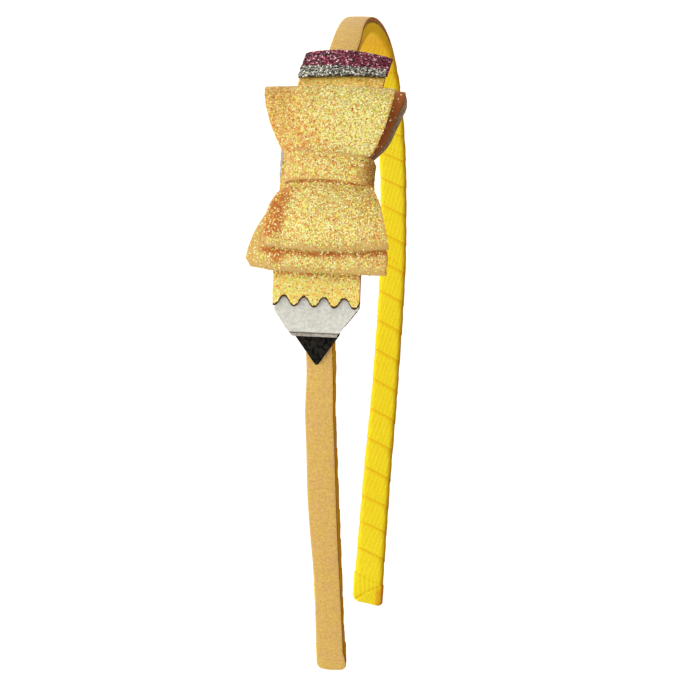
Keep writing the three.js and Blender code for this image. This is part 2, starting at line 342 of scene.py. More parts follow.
# %% Tones, grain and relief
def ramp(tree, factor, stops, stepped=False):
    """Tones at stops along a factor."""
    node = tree.nodes.new("ShaderNodeValToRGB")
    node.color_ramp.interpolation = "CONSTANT" if stepped else "LINEAR"
    while len(node.color_ramp.elements) < len(stops):
        node.color_ramp.elements.new(0.5)
    for element, (at, tone) in zip(node.color_ramp.elements, stops):
        element.position = at
        element.color = tone
    tree.links.new(factor, node.inputs["Fac"])
    return node.outputs["Color"]


def textured(tree, kind, **inputs):
    """A texture on Object coordinates, with its scale per metre."""
    where = tree.nodes.new("ShaderNodeTexCoord")
    texture = add_node(tree, kind, **inputs)
    tree.links.new(where.outputs["Object"], texture.inputs["Vector"])
    return texture


def kept_number(tree, name):
    """Reads a number that was marked on the points."""
    return add_node(tree, "ShaderNodeAttribute", {"attribute_name": name}).outputs["Fac"]


def blended(tree, amount, first, second):
    """Mixes two tones by an amount. The second may be a plain colour."""
    mix = add_node(tree, "ShaderNodeMix", {"data_type": "RGBA"})
    tree.links.new(amount, mix.inputs["Factor"])
    tree.links.new(first, mix.inputs["A"])
    if isinstance(second, tuple):
        mix.inputs["B"].default_value = second
    else:
        tree.links.new(second, mix.inputs["B"])
    return mix.outputs["Result"]


def raised(tree, shader, height, depth, strength):
    bump = add_node(tree, "ShaderNodeBump", Strength=strength, Distance=depth * MM)
    tree.links.new(height, bump.inputs["Height"])
    tree.links.new(bump.outputs["Normal"], shader.inputs["Normal"])


print("materials before the first cloth:", len(bpy.data.materials))

# %% Cloths
dark_at = 0.32
light_at = 0.68
drift_from = 0.38
drift_to = 0.66
drift_share = 0.55
cloth_relief = 0.5


def plain_cloth(name, fine_tones, slow_tones, fine=1500, slow=90, depth=0.05, roughness=0.85, **shine):
    """Fine grain between two tones, a slow drift to two others, and a little relief."""
    finish, tree, shader = new_finish(name, roughness, **shine)
    fine_grain = textured(tree, "ShaderNodeTexNoise", Scale=fine, Detail=3.0).outputs["Fac"]
    slow_grain = textured(tree, "ShaderNodeTexNoise", Scale=slow, Detail=1.0).outputs["Fac"]
    first, second = [
        ramp(tree, fine_grain, [(dark_at, colour(*dark)), (light_at, colour(*light))])
        for dark, light in (fine_tones, slow_tones)]
    share = ramp(tree, slow_grain, [(drift_from, grey(0)), (drift_to, grey(drift_share))])
    tree.links.new(blended(tree, share, first, second), shader.inputs["Base Color"])
    raised(tree, shader, fine_grain, depth, cloth_relief)
    return finish


strip_cloth = plain_cloth(
    "pale gold strip", ((212, 178, 90), (232, 202, 112)), ((214, 170, 108), (230, 190, 128)),
    fine=1900, slow=420, depth=0.03, roughness=0.55, metallic=0.1, specular=0.3)
cut_edge = plain_cloth(
    "gold cut edge", ((206, 158, 88), (238, 204, 140)), ((190, 138, 70), (222, 182, 112)), roughness=0.8)
dark_edge = plain_cloth(
    "brown cut edge", ((150, 92, 48), (190, 130, 76)), ((134, 80, 40), (170, 114, 64)))
grey_backing = plain_cloth(
    "canvas backing", ((156, 136, 108), (192, 175, 148)), ((138, 119, 94), (174, 156, 131)),
    fine=1700, slow=80, depth=0.06, roughness=0.9)
burnt_edge = plain_cloth(
    "scorched edge", ((52, 34, 18), (96, 66, 34)), ((38, 26, 16), (80, 54, 28)), slow=120)
wood_cloth = plain_cloth(
    "off-white canvas", ((206, 214, 210), (234, 242, 240)), ((196, 204, 200), (226, 234, 230)), slow=80)
pale_edge = plain_cloth(
    "pale cut edge", ((150, 150, 144), (196, 196, 190)), ((128, 128, 122), (178, 178, 172)))
# A painted line of shade, for the wood's end.
scored_line = plain_cloth(
    "scored line", ((96, 92, 84), (140, 136, 126)), ((88, 84, 76), (124, 120, 112)))
lead_cloth = plain_cloth(
    "black canvas", ((2, 2, 2), (50, 50, 46)), ((2, 2, 2), (40, 40, 37)),
    slow=120, roughness=0.9, specular=0.06)
felt_cloth = plain_cloth(
    "white felt", ((188, 194, 206), (214, 222, 234)), ((178, 184, 196), (204, 212, 224)),
    fine=900, slow=100, depth=0.08, roughness=0.95)
print("cloths made:", len(bpy.data.materials))

# %% Ribbon finish
def ribbon_finish():
    """Yellow weave, with painted shadow at each lap's line and painted shade on the band's edges and
    inside the crown.
    """
    cloth = plain_cloth(
        "yellow grosgrain", ((244, 226, 34), (251, 238, 50)), ((240, 216, 24), (249, 232, 40)),
        fine=2600, slow=55, depth=0.04, roughness=0.7, specular=0.12)
    tree = cloth.node_tree
    base = tree.nodes["Principled BSDF"].inputs["Base Color"]
    tone = base.links[0].from_socket
    # Both deep tones are painted shade: a shadow line at each lap, and shade on the edges and in the
    # crown.
    seam_line = [(0.3, grey(0.8)), (0.36, grey(0.5)), (0.43, grey(0))]
    upper_edge = [(0.0, grey(0)), (1.0, grey(0.85))]
    for layer, stops, deep_tone in (
            ("ribbon_width", seam_line, colour(230, 176, 10)),
            ("upper_edge", upper_edge, colour(222, 150, 26))):
        share = ramp(tree, kept_number(tree, layer), stops)
        tone = blended(tree, share, tone, deep_tone)
    tree.links.new(tone, base)
    return cloth


ribbon_cloth = ribbon_finish()
print("ribbon finish:", ribbon_cloth.name)

# %% [markdown]
# ## Glitter
# Glitter canvas is a ground of mixed specks with thousands of small six-sided flakes pressed
# into it at odd tilts. Flecks painted on would stay flat, so the flakes are real: Geometry Nodes
# scatters them over the outer faces, one scatter for each tone, and the result is made a mesh.

# %% Speckled grounds
def speckled_ground(name, tones, scale, roughness, metallic, painted=()):
    """A ground of cells, each with a tone of its own, and plain tones where a piece is marked."""
    finish, tree, shader = new_finish(name, roughness, metallic)
    cells = textured(tree, "ShaderNodeTexVoronoi", Scale=scale)
    split = tree.nodes.new("ShaderNodeSeparateColor")
    tree.links.new(cells.outputs["Color"], split.inputs["Color"])
    steps = [(k / len(tones), colour(*tone)) for k, tone in enumerate(tones)]
    tone = ramp(tree, split.outputs["Red"], steps, stepped=True)
    for layer, plain_tone in painted:
        tone = blended(tree, kept_number(tree, layer), tone, colour(*plain_tone))
    tree.links.new(tone, shader.inputs["Base Color"])
    raised(tree, shader, split.outputs["Green"], depth=0.08, strength=0.4)
    return finish


gold_ground = speckled_ground(
    "gold ground", [(210, 158, 80), (226, 196, 104), (234, 214, 136), (220, 180, 98)],
    scale=3400, roughness=0.55, metallic=0.1,
    # Painted tones: painted light where marked, a plain tone for wear that also paints a highlight, and
    # painted warm and deep shade.
    painted=[
        ("bright", (255, 216, 112)), ("worn", (216, 184, 108)),
        ("warm", (194, 108, 36)), ("bare", (168, 90, 34))])
silver_ground = speckled_ground(
    "silver ground", [(36, 40, 36), (146, 150, 140), (84, 88, 82)],
    scale=2600, roughness=0.5, metallic=0.3)
maroon_ground = speckled_ground(
    "maroon ground", [(54, 10, 28), (118, 34, 60), (80, 20, 42)],
    scale=2600, roughness=0.5, metallic=0.2)
print("grounds made: gold, silver, maroon")

# %% Scatter one tone
flake_sides = 6
flake_proud = 0.25
smallest_flake = 0.7
largest_flake = 1.25


def scatter_tone(tree, source, tone, radius, tilt, seed):
    """One tone's flakes over the faces of source, as close as the share kept on its points says."""
    material, density, share_name = tone
    share = add_node(tree, "GeometryNodeInputNamedAttribute", {"data_type": "FLOAT"}, Name=share_name)
    amount = add_node(tree, "ShaderNodeMath", {"operation": "MULTIPLY"})
    amount.inputs[1].default_value = density / MM ** 2
    spots = add_node(tree, "GeometryNodeDistributePointsOnFaces", Seed=seed)
    flake = add_node(
        tree, "GeometryNodeMeshCircle", {"fill_type": "NGON"}, Vertices=flake_sides, Radius=radius * MM)
    proud = add_node(tree, "GeometryNodeTransform", Translation=(0, 0, radius * flake_proud * MM))
    paint = add_node(tree, "GeometryNodeSetMaterial", Material=material)
    lean = add_node(
        tree, "FunctionNodeRandomValue", {"data_type": "FLOAT_VECTOR"},
        Min=(-tilt, -tilt, -math.pi), Max=(tilt, tilt, math.pi), Seed=seed + 100)
    as_turn = tree.nodes.new("FunctionNodeEulerToRotation")
    turn = add_node(tree, "FunctionNodeRotateRotation", {"rotation_space": "LOCAL"})
    size = add_node(
        tree, "FunctionNodeRandomValue", {"data_type": "FLOAT"},
        Min=smallest_flake, Max=largest_flake, Seed=seed + 200)
    lay = tree.nodes.new("GeometryNodeInstanceOnPoints")
    for start, end in (
            (source, spots.inputs["Mesh"]),
            (share.outputs["Attribute"], amount.inputs[0]),
            (amount.outputs[0], spots.inputs["Density"]),
            (lean.outputs["Value"], as_turn.inputs["Euler"]),
            (spots.outputs["Rotation"], turn.inputs["Rotation"]),
            (as_turn.outputs["Rotation"], turn.inputs["Rotate By"]),
            (flake.outputs["Mesh"], proud.inputs["Geometry"]),
            (proud.outputs["Geometry"], paint.inputs["Geometry"]),
            (spots.outputs["Points"], lay.inputs["Points"]),
            (paint.outputs["Geometry"], lay.inputs["Instance"]),
            (turn.outputs["Rotation"], lay.inputs["Rotation"]),
            (size.outputs[1], lay.inputs["Scale"])):
        tree.links.new(start, end)
    return lay.outputs["Instances"]


print("flakes have", flake_sides, "sides")

# %% Glitter recipes
def flake_finish(name, tone):
    finish, _, shader = new_finish(name, roughness=0.34, metallic=0.45, specular=0.6)
    shader.inputs["Base Color"].default_value = colour(*tone)
    return finish


def glitter_recipe(name, rows, radius, tilt, seed):
    """Rows are a fleck, its tone, its flakes per square millimetre, and the mark that thins them."""
    tree = bpy.data.node_groups.new(name, "GeometryNodeTree")
    for way in ("INPUT", "OUTPUT"):
        tree.interface.new_socket("Geometry", in_out=way, socket_type="NodeSocketGeometry")
    arrive = tree.nodes.new("NodeGroupInput")
    leave = tree.nodes.new("NodeGroupOutput")
    gather = tree.nodes.new("GeometryNodeJoinGeometry")
    real = tree.nodes.new("GeometryNodeRealizeInstances")
    for k, (fleck, tone, density, thinned_by) in enumerate(rows):
        kind = (flake_finish(fleck, tone), density, thinned_by)
        flakes = scatter_tone(tree, arrive.outputs[0], kind, radius, tilt, seed + k)
        tree.links.new(flakes, gather.inputs[0])
    tree.links.new(gather.outputs[0], real.inputs[0])
    tree.links.new(real.outputs[0], leave.inputs[0])
    return tree


gold_glitter = glitter_recipe("gold glitter", [
    ("cream fleck", (247, 249, 184), 3.6, "cream"),
    ("yellow fleck", (244, 232, 104), 3.4, "pale"),
    ("lime fleck", (222, 240, 130), 2.4, "pale"),
    ("peach fleck", (236, 192, 130), 1.4, "deep"),
    ("orange fleck", (228, 160, 70), 1.8, "deep"),
    ("amber fleck", (196, 122, 48), 1.2, "deep"),
], radius=0.17, tilt=0.36, seed=11)
fine_glitter = glitter_recipe("fine glitter", [
    ("straw fleck", (240, 212, 104), 5.0, "pale"),
    ("wheat fleck", (234, 198, 114), 3.0, "pale"),
], radius=0.12, tilt=0.3, seed=71)
silver_glitter = glitter_recipe("silver glitter", [
    ("white fleck", (250, 252, 248), 5.6, "flakes"),
    ("grey fleck", (158, 170, 158), 4.6, "flakes"),
    ("soot fleck", (46, 52, 46), 4.6, "flakes"),
], radius=0.2, tilt=0.45, seed=31)
maroon_glitter = glitter_recipe("maroon glitter", [
    ("wine fleck", (146, 24, 66), 4.0, "flakes"),
    ("plum fleck", (64, 2, 30), 4.2, "flakes"),
    ("rose fleck", (226, 112, 164), 1.9, "flakes"),
    ("blush fleck", (255, 230, 242), 1.5, "flakes"),
], radius=0.2, tilt=0.45, seed=51)
print("glitter recipes:", len(bpy.data.node_groups))

# %% Sprinkle
def sprinkle(canvas, name, recipe, slot):
    """Flakes over the outer faces of a canvas piece, as a mesh of their own."""
    flakes = canvas.copy()
    flakes.data = canvas.data.copy()
    flakes.name = name
    flakes.data.name = name
    bpy.context.scene.collection.objects.link(flakes)
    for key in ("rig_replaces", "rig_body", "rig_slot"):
        if key in flakes:
            del flakes[key]
    flakes.parent = None
    whole_mesh(flakes, bpy.ops.mesh.select_all, action="DESELECT")
    for face in flakes.data.polygons:
        face.select = face.material_index != 0
    bpy.ops.object.mode_set(mode="EDIT")
    bpy.ops.mesh.select_mode(type="FACE")
    bpy.ops.mesh.delete(type="FACE")
    bpy.ops.object.mode_set(mode="OBJECT")
    flakes.modifiers.new("glitter", "NODES").node_group = recipe
    apply_all(flakes)
    dress(flakes, slot)
    return flakes


print("finishes made:", len(bpy.data.materials))

# %% [markdown]
# ## The ribbon
# The band is wound with one long grosgrain ribbon. It could be faked with a tube and grooves, but
# the laps then look drawn on. So the ribbon is cut flat, turned to the winding's angle,
# trimmed square at both tips with bisect, and rolled round the core, with the far edge of each turn
# lying over the next turn. Its ribs run across it, so rows of the grid are spaced to carry them.

# %% Ribbon sizes
ribbon_width = 10.0
ribbon_thick = 0.06
ribbon_pitch = 7.4
round_band = 16.0
rib_pitch = 1.0
rib_depth = 0.027
rib_lean = math.radians(15)
rows_per_rib = 5
winding_angle = math.atan2(ribbon_pitch, round_band)
cos_angle = math.cos(winding_angle)
sin_angle = math.sin(winding_angle)
lap_step = ribbon_pitch * cos_angle
lap_rise = 1.5
weave_skew = math.tan(winding_angle - rib_lean)
rib_step = rib_pitch / math.cos(winding_angle - rib_lean)
ribbon_length = 2 * side_length / sin_angle
print("ribbon", ribbon_width, "by", round(ribbon_length, 1), "mm")

# %% Round the core
core_corner = 0.8
corner_steps = 8


def run_along(points):
    """Length along a line, at each of its points."""
    return np.concatenate([[0], np.cumsum(np.linalg.norm(np.diff(points, axis=0), axis=1))])


def rounded_box(half_across, half_high, corner, corners):
    """Points round a box with rounded corners, and the way out at each."""
    spots = []
    for side, level, start in corners:
        for step in range(corner_steps + 1):
            angle = math.radians(start + 90 * step / corner_steps)
            out = (math.cos(angle), math.sin(angle))
            across = side * (half_across - corner) + corner * out[0]
            high = level * (half_high - corner) + corner * out[1]
            spots.append(((across, high), out))
    return spots


def core_outline():
    """The core's outline as places, directions and shares of its length, from mid inside."""
    corners = [(1, -1, -90), (1, 1, 0), (-1, 1, 90), (-1, -1, 180)]
    inside = ((0, -band_thick / 2), (0, -1))
    spots = [inside] + rounded_box(band_width / 2, band_thick / 2, core_corner, corners) + [inside]
    place = np.array([spot for spot, _ in spots])
    out = np.array([out for _, out in spots])
    run = run_along(place)
    return place, out, run / run[-1]


outline_place, outline_out, outline_share = core_outline()


def round_core(share, lift):
    """Across and height at a share of the way round the core, lifted off it."""
    share = np.mod(share, 1.0)
    across, height = (np.interp(share, outline_share, outline_place[:, k]) for k in (0, 1))
    out_across, out_height = (np.interp(share, outline_share, outline_out[:, k]) for k in (0, 1))
    size = np.hypot(out_across, out_height)
    return across + lift * out_across / size, height + lift * out_height / size


print("core outline points:", len(outline_share))

# %% Where the ribbon goes
tip_spread = 0.5
crown_spread = 1.3
leg_spread = 0.32
tight_share = 0.91
loose_share = 1.03
turn_slide = 2.0
slow_slack = 0.012
quick_slack = 0.008


def fullness(place, across):
    """The ribbon is tight on the bow side, loose on the plain side, and fuller on one edge in places."""
    loose = tight_share + (loose_share - tight_share) * smooth(-place, -30, 30)
    lower = tip_spread * smooth(-place, 110, 165) + crown_spread * near(place, -22, 10)
    upper = leg_spread * smooth(place, 98, 112)
    edge_share = across / (band_width / 2)
    return across * loose + np.where(across > 0, lower, upper) * edge_share


def roll_up(round_way, place, _):
    """Where a point of the flat turned ribbon goes on the band."""
    along = round_way * cos_angle + place * sin_angle
    width = round_way * sin_angle - place * cos_angle
    from_edge = width + ribbon_width / 2
    lap = smooth(from_edge, lap_step - lap_rise, lap_step)
    shown = smooth(from_edge, 2.6, 3.3)
    rib = rib_depth * shown * np.cos(2 * math.pi * (along + width * weave_skew) / rib_step)
    slack = slow_slack * np.sin(along / 13.0) + quick_slack * np.sin(along / 5.3 + width)
    lift = ribbon_thick * (0.5 + 1.08 * lap) + rib + slack
    across, height = round_core(round_way / round_band, lift)
    place = place - turn_slide * between(-place, 70, 138, 142, 163)
    return on_arch(place, fullness(place, across) + band_set(place), height)


print("turns slide up to", turn_slide, "mm on the plain side")

# %% Cut and shade the ribbon
crown_inside_shade = 0.75
crown_edge_fade = 0.4
plain_side_fade = 0.25
lower_edge_shade = 0.5
lap_columns = np.array([-5, -2, 0.2, 0.9, 1.5, 2.1, 3.4, 4.8, 5])
even_columns = np.linspace(-ribbon_width / 2, ribbon_width / 2, len(lap_columns))
cut_length = ribbon_length + 2 * ribbon_width / sin_angle
ribbon_rows = int(cut_length / rib_step * rows_per_rib)
ribbon = cut_sheet("ribbon_winding", ribbon_width, cut_length, len(lap_columns) - 1, ribbon_rows)
flat = points_of(ribbon)
flat[:, 0] = np.interp(flat[:, 0], even_columns, lap_columns)
over_width = flat[:, 0] / ribbon_width + 0.5
flat[:, 1] -= flat[:, 0] * weave_skew
ribbon_round = flat[:, 1] * cos_angle + flat[:, 0] * sin_angle
ribbon_place = flat[:, 1] * sin_angle - flat[:, 0] * cos_angle
# Painted shade: the ribbon is darkened inside the crown and along both edges of the band; its share across
# the width places the painted lap shadow.
edge_at, level_at = round_core(ribbon_round / round_band, 0)
inside_crown = crown_inside_shade * near(ribbon_place, -10, 20) * smooth(-level_at, 0.5, 1.1)
upper_shade = smooth(-edge_at, 2.4, 3.2) * (1 - crown_edge_fade * near(ribbon_place, 0, 36))
upper_shade *= 1 - plain_side_fade * smooth(-ribbon_place, 20, 60)
lower_shade = lower_edge_shade * smooth(edge_at, 2.75, 3.15)
shade = np.maximum(np.maximum(upper_shade, inside_crown), lower_shade)
mark(ribbon, ribbon_width=over_width, upper_edge=shade)
print("ribbon cut with", ribbon_rows, "rows")

# %% Wind the ribbon
tip_trim = 2.4
turned_flat = np.stack([ribbon_round, ribbon_place, flat[:, 2]], 1)
ribbon.data.vertices.foreach_set("co", turned_flat.ravel())
ribbon.data.update()
for at, keep_below in ((side_length - tip_trim, True), (tip_trim - side_length, False)):
    whole_mesh(
        ribbon, bpy.ops.mesh.bisect, plane_co=(0, at, 0), plane_no=(0, 1, 0),
        clear_outer=keep_below, clear_inner=not keep_below)
bend(ribbon, roll_up)
whole_mesh(ribbon, bpy.ops.mesh.flip_normals)
thicken(ribbon, ribbon_thick, [ribbon_cloth], bevel=0)
dress(ribbon, "yellow_ribbon", "wound_band")

# %% [markdown]
# ## The folded tips
# The ribbon's ends are folded over the band's tips. A cube, subdivided and pushed out to a
# rounded block, makes the fold: it takes the ribs of the ribbon and one slanting crease.

# %% Fold the tips
fold_length = 6.4
fold_half = band_width / 2 + 0.28
fold_thick = band_thick / 2 + 0.28
fold_corner = 1.5
fold_round = 0.75
fold_rib = 0.045
fold_cuts = 40
tip_crease_slope = 0.95
tip_crease_shift = 0.2
tip_crease_dip = 0.26
under_flap_dip = 0.3
seam_slope = ribbon_pitch / round_band
plain_tip_slope = 0.17


def from_tip_crease(spot):
    return spot[:, 1] - tip_crease_slope * spot[:, 0] - tip_crease_shift


def tip_fold(name, side, start_slope, end_slope):
    bpy.ops.object.select_all(action="DESELECT")
    bpy.ops.mesh.primitive_cube_add(size=2)
    block = bpy.context.object
    block.name = name
    block.data.name = name
    whole_mesh(block, bpy.ops.mesh.subdivide, number_cuts=fold_cuts)
    reach = np.array([fold_half, fold_length / 2])

    def folded(x, y, z):
        spot = np.stack([x, y], 1) * reach
        inside = np.min(reach - np.abs(spot), axis=1)
        low = np.array([fold_corner - fold_half, -fold_length / 2])
        middle = np.clip(spot, low, reach - fold_corner)
        away = spot - middle
        turn = away / np.maximum(np.linalg.norm(away, axis=1), 1e-9)[:, None]
        spot = middle + turn * np.max(np.abs(away), axis=1)[:, None]
        edge = np.clip(fold_round - inside, 0, fold_round)
        limit = fold_thick - fold_round + np.sqrt(fold_round ** 2 - edge ** 2)
        crease = from_tip_crease(spot)
        rib_along = spot[:, 0] + np.where(crease > 0, 0.75, 0.1) * spot[:, 1]
        rib = fold_rib * np.cos(2 * math.pi * rib_along / rib_pitch)
        dip = tip_crease_dip * near(crease, 0, 0.3) + under_flap_dip * smooth(crease, 0, 3.2)
        face = np.where(z < 0, 1.0, 0.0)
        height = z * (limit + (rib - dip) * face * np.abs(z))
        slope = end_slope + (start_slope - end_slope) * (1 - y) / 2
        place = side_length - fold_length / 2 + spot[:, 1] - slope * spot[:, 0]
        across = fullness(side * place, spot[:, 0]) + band_set(side * place)
        return on_arch(side * place, across, height)

    flat = points_of(block)
    spots = flat[:, :2] * reach
    inner = flat[:, 2] < 0
    # Painted shade on the fold: a dark line along the crease, the flap's far side and the upper edge.
    crease_tone = 0.3 + 0.3 * smooth(np.abs(from_tip_crease(spots)), 0.05, 0.5)
    deep_side = 0.8 * smooth(-spots[:, 0], 1.3, 2.4) * smooth(spots[:, 1], -2.4, -0.8)
    upper_side = smooth(-spots[:, 0], 2.4, 3.3)
    bend(block, folded)
    mark(
        block, ribbon_width=np.where(inner, crease_tone, 0.7),
        upper_edge=np.maximum(upper_side, np.where(inner, deep_side, 0)))
    whole_mesh(block, bpy.ops.mesh.normals_make_consistent, inside=False)
    bpy.ops.object.shade_smooth()
    block.data.materials.append(ribbon_cloth)
    dress(block, "yellow_ribbon", "wound_band")
    return block


near_fold = tip_fold("tip_fold_bow_side", 1, 0, 0)
far_fold = tip_fold("tip_fold_plain_side", -1, seam_slope, plain_tip_slope)

# %% [markdown]
# ## The strip
# A narrow strip of pale gold canvas is glued along the band's outside, from tip to tip. Its ends
# are rounded off with scissors, and the end under the bow was cut a little wide.

# %% Lay the strip
strip_width = 5.4
strip_thick = 0.95
strip_bevel = 0.2
strip_end = side_length - 1.0
strip_height = 2.05
strip_hollow = 0.1
round_end = 1.3
end_narrowing = 0.28
end_bulge = 0.25
flare_start = side_length - 5.5
flare_length = 2.4
flare_width = 0.5
leg_extra = 0.5
crown_extra = 0.65


def strip_place(x, y, _):
    share = 2 * x / strip_width
    left = strip_end - np.abs(y)
    curve = np.clip(1 - left / round_end, 0, 1)
    half = strip_width / 2 * (1 - end_narrowing * (1 - np.sqrt(1 - curve ** 2 * 0.999)))
    flare = flare_width * np.clip((y - flare_start) / flare_length, 0, 1)
    trimmed = 0.15 * near(y, 128, 8) - 0.4 * near(y, 151, 9)
    upper = half + flare + leg_extra * smooth(y, 98, 110) + crown_extra * near(y, 26, 8)
    side = np.where(share < 0, share * upper, share * (half + trimmed))
    drift = 0.1 * np.sin(y / 17.0) + 0.05 * np.sin(y / 7.1 + 1.0)
    height = strip_height + wavy(x, y, size=9.0, depth=0.05) - strip_hollow * share ** 2
    bulge = end_bulge * (1 - share ** 2) * curve * np.sign(y)
    return on_arch(y + bulge, side + drift + band_set(y), height)


strip = cut_sheet("cover_strip_canvas", strip_width, 2 * strip_end, columns=10, rows=520)
strip_along = points_of(strip)[:, 1]
mark(strip, pale=0.04 + 0.5 * (near(strip_along, 96, 11) + near(strip_along, 27, 8)))
bend(strip, strip_place)
thicken(strip, strip_thick, [strip_cloth, grey_backing, dark_edge], strip_bevel)
dress(strip, "gold_strip", "cover_strip")
strip_flakes = sprinkle(strip, "strip_glitter", fine_glitter, "gold_glitter")

# %% [markdown]
# ## The felt pad
# A scrap of white felt fills the space between the strip and the pencil behind the bow. Felt has
# no crisp edge, so its outline wanders.

# %% Cut the felt
felt_start = 55.3
felt_end = 63.2
felt_half = 8.5
felt_height = 3.3
felt_thick = 1.2
felt_bevel = 0.35
felt_lean = 0.06


def felt_place(x, y, _):
    fray = 0.05 * np.sin(y * 3.1) + 0.04 * np.sin(y * 7.3 + x)
    place = (felt_start + felt_end) / 2 + y + 0.1 * np.sin(x * 2.7)
    across = x + fray * x / felt_half - felt_lean * (y + 4)
    return on_arch(place, across, felt_height + wavy(x, y, size=4.0, depth=0.06))


felt = cut_sheet("felt_pad_cloth", 2 * felt_half, felt_end - felt_start, columns=60, rows=30)
bend(felt, felt_place)
thicken(felt, felt_thick, [felt_cloth], felt_bevel)
dress(felt, "white_felt", "felt_pad")

# %% [markdown]
# ## The pencil
# The pencil is five flat cuts glued to each other and bent over the band: eraser, ferrule, body,
# sharpened wood and lead. It leans a little across the band, and its top droops on both sides.

# %% Places on the pencil
pencil_half = 8.75
lead_tip = 98.0
pencil_lean = 0.0225
tip_offset = -0.4
pencil_droop = 1.35
droop_start = 31.0
droop_end = 52.0
seat_on_strip = 2.8
seat_on_sheet = 4.1
half_sheet = 0.5


def on_pencil(place, across, height):
    across = tip_offset - pencil_lean * (lead_tip - place) + across
    high_up = np.clip((droop_end - place) / (droop_end - droop_start), 0, 1)
    droop = pencil_droop * high_up ** 2 * (across / pencil_half) ** 2
    return on_arch(place, across, height - droop)


def steady(value):
    return lambda place: np.full_like(np.asarray(place, float), value)


def even_rows(down):
    return down


def pencil_cut(name, start, end_at, half_at, seat_at, columns, rows, rows_at=even_rows, skew=0):
    """A cut of the pencil from start to end_at(across), with its half width and seat by place."""
    half = half_at(np.array([start]))[0]
    length = float(np.max(end_at(np.linspace(-half, half, 99)))) - start
    cut = cut_sheet(name, 2 * half, length, columns, rows)

    def place_of(x, y, _):
        share = x / half
        down = rows_at(y / length + 0.5)
        place = start + down * (end_at(share * half) - start)
        height = seat_at(place) + half_sheet + wavy(x, y, size=7.0, depth=0.07)
        return on_pencil(place, share * half_at(place - skew * share), height)

    bend(cut, place_of)
    return cut


print("pencil", round(lead_tip - droop_start, 1), "mm along the band")

# %% [markdown]
# ### Eraser and ferrule
# Maroon glitter for the eraser, and a narrow silver strip glued over its joint with the body.

# %% Eraser and ferrule
eraser_start = 31.6
eraser_end = 37.8
eraser_half = 9.05
eraser_seat = 3.1
ferrule_start = 37.45
ferrule_middle_end = 40.1
ferrule_slant = 0.055
ferrule_half = 8.9
ferrule_seat = 4.1
ferrule_thick = 0.5


def ferrule_end(across):
    return ferrule_middle_end + ferrule_slant * across


eraser = pencil_cut(
    "eraser_canvas", eraser_start, steady(eraser_end), steady(eraser_half), steady(eraser_seat),
    columns=60, rows=24)
ferrule = pencil_cut(
    "ferrule_canvas", ferrule_start, ferrule_end, steady(ferrule_half), steady(ferrule_seat),
    columns=60, rows=16)
for glittered in (eraser, ferrule):
    mark(glittered, flakes=np.ones(len(glittered.data.vertices)))
thicken(eraser, canvas_thick, [maroon_ground, grey_backing, maroon_ground])
dress(eraser, "maroon_glitter", "pencil_eraser")
thicken(ferrule, ferrule_thick, [silver_ground, grey_backing, silver_ground])
dress(ferrule, "silver_glitter", "pencil_ferrule")
eraser_flakes = sprinkle(eraser, "eraser_glitter", maroon_glitter, "maroon_glitter")
ferrule_flakes = sprinkle(ferrule, "ferrule_glitter", silver_glitter, "silver_glitter")

# %% [markdown]
# ### Body
# The body's lower edge is cut in waves with a hot blade, which leaves a dark scorched line. The last
# rows of the grid are drawn close together there, so that the line can be its own material.

# %% Shape of the body
body_start = 38.1
body_end = 85.35
scallop_depth = 1.8
scallop_pitch = 4.04
scallop_shift = 0.38
scallop_slope = -0.015
scorch_width = 0.42
scorch_rows = 0.06
scorch_spare = 0.002


def scallop(across):
    turn = 2 * math.pi * (across - scallop_shift) / scallop_pitch
    wave = np.cos(turn) - 0.04 * np.cos(3 * turn)
    return body_end + scallop_slope * across + scallop_depth / 2 * wave


def body_seat(place):
    return eraser_seat + (seat_on_sheet - eraser_seat) * smooth(place, 43, 53)


def close_to_end(down):
    last = 1 - scorch_width / (body_end - body_start)
    return np.interp(down, [0, 1 - scorch_rows, 1], [0, last, 1])


body = pencil_cut(
    "body_canvas", body_start, scallop, steady(pencil_half), body_seat,
    columns=150, rows=66, rows_at=close_to_end)
print("body", round(body_end - body_start, 1), "mm long")

# %% Finish of the body
bow_edge_at = 80.0
bow_edge_slope = 0.02
bow_edge_reach = 0.5
body_across, body_along = places_on_cut(body)
body_down = (body_along - np.min(body_along)) / np.ptp(body_along)
body_place = body_start + close_to_end(body_down) * (scallop(body_across) - body_start)
body_shown = smooth(pencil_half - np.abs(body_across), -0.1, 0.41)
# Painted light: fewer flakes and a brighter ground below the ferrule and below the bow. Painted shade: an
# orange line under the bow's lower edge.
body_shown = body_shown * (0.6 + 0.4 * smooth(body_place, 41, 47))
under_bow = near(body_place + bow_edge_slope * body_across, bow_edge_at, bow_edge_reach)
below_bow = smooth(body_place, 60, 70)
below_ferrule = 1 - smooth(body_place, 44.5, 47)
mark(
    body,
    cream=body_shown * (0.6 + 0.25 * below_bow) * (1 - 0.9 * under_bow),
    pale=body_shown * (1.2 + 0.5 * below_bow) * (1 - 0.9 * under_bow),
    deep=body_shown * (0.7 - 0.1 * below_bow) * (1 + under_bow),
    warm=under_bow,
    bright=np.maximum(below_ferrule, 0.8 * below_bow * (1 - under_bow)))
thicken(body, canvas_thick, [gold_ground, grey_backing, burnt_edge])
dress(body, "gold_glitter", "pencil_body")
_, body_along = places_on_cut(body)
scorch_from = np.max(body_along) - (scorch_rows + scorch_spare) * np.ptp(body_along)
for face in body.data.polygons:
    if np.min(body_along[list(face.vertices)]) > scorch_from:
        face.material_index = 2
body_flakes = sprinkle(body, "body_glitter", gold_glitter, "gold_glitter")

# %% [markdown]
# ### Wood and lead
# Plain off-white canvas for the sharpened wood, and black for the lead, which is tucked under it.
# The wood ends in a grey band, its cut edge painted as in shade, with a painted line of shade above it.

